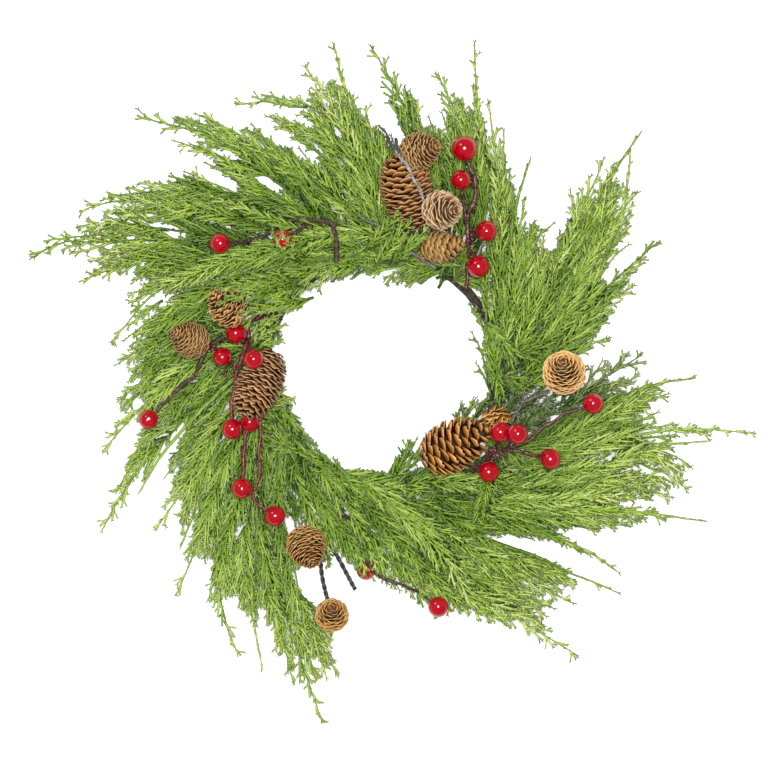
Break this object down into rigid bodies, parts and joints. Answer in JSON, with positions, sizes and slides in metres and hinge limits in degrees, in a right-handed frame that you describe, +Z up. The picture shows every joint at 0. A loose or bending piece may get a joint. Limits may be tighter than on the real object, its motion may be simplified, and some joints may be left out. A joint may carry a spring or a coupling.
{
  "type": "table wreath",
  "caption": "Round table wreath of cedar sprays on a wrapped ring, with pine cones and red berries on top, and a clear round middle for a candle.",
  "frame": {"origin": "on the table under the middle of the wreath's overall length and breadth, at the flat underside of the ring", "axes": "+X along the wreath's longest reach, from the left sprays to the right ones; +Y towards the top sprays; +Z up from the table"},
  "size_m": [0.4386, 0.4124, 0.0601],
  "materials": {
    "ring_wrap": "dark brown wrapped strands, matt",
    "cedar_green": "yellow-green cedar twigs, greyer at the tips, satin",
    "cedar_dark": "dark green cedar twigs, satin",
    "cone_scale": "tan to orange-brown scales with pale edges, matt",
    "berry_red": "crimson lacquer, glossy",
    "stem_red": "dark red-brown wrapped stem, satin",
    "twig_grey": "grey-green bare twig, matt",
    "wire_black": "black covered stem wire, satin"
  },
  "bodies": {
    "root": {"ring_frame": "ring_wrap", "cedar_spray_left_upper": "cedar_dark", "cedar_spray_left_inner": "cedar_green", "cedar_spray_upper_left": "cedar_green", "cedar_spray_top_left": "cedar_green", "cedar_spray_top": "cedar_green", "cedar_spray_top_right": "cedar_green", "cedar_spray_upper_right_inner": "cedar_green", "cedar_spray_upper_right": "cedar_green", "cedar_spray_right": "cedar_green", "cedar_spray_right_low": "cedar_dark", "cedar_spray_lower_right_upper": "cedar_green", "cedar_spray_lower_right_mid": "cedar_green", "cedar_spray_lower_right": "cedar_green", "cedar_spray_bottom_right": "cedar_green", "cedar_spray_bottom": "cedar_green", "cedar_spray_lower_left": "cedar_green", "cedar_spray_left_lower": "cedar_green", "cedar_spray_left": "cedar_green", "cone_large_top": "cone_scale", "cone_large_left": "cone_scale", "cone_large_right": "cone_scale", "cone_small_top_b": "cone_scale", "cone_small_top_c": "cone_scale", "cone_small_left_a": "cone_scale", "cone_small_left_b": "cone_scale", "cone_small_bottom_a": "cone_scale", "cone_small_bottom_b": "cone_scale", "cone_small_right_a": "cone_scale", "cone_small_top_a": "cone_scale", "cone_small_right_b": "cone_scale", "berry_left_6": "berry_red", "berry_top_1": "berry_red", "berry_top_2": "berry_red", "berry_top_3": "berry_red", "berry_top_4": "berry_red", "berry_upper_left_1": "berry_red", "berry_upper_left_2": "berry_red", "berry_left_1": "berry_red", "berry_left_2": "berry_red", "berry_left_3": "berry_red", "berry_left_4": "berry_red", "berry_left_5": "berry_red", "berry_left_7": "berry_red", "berry_left_8": "berry_red", "berry_bottom_1": "berry_red", "berry_bottom_2": "berry_red", "berry_right_1": "berry_red", "berry_right_2": "berry_red", "berry_right_3": "berry_red", "berry_right_4": "berry_red", "berry_right_5": "berry_red", "berry_stem_top": "stem_red", "berry_stem_upper_left": "stem_red", "berry_stem_left": "stem_red", "berry_stem_left_lower": "stem_red", "berry_stem_bottom": "stem_red", "berry_stem_right": "stem_red", "bare_twig_top": "twig_grey", "stem_wire_bottom": "wire_black"}
  },
  "joints": []
}
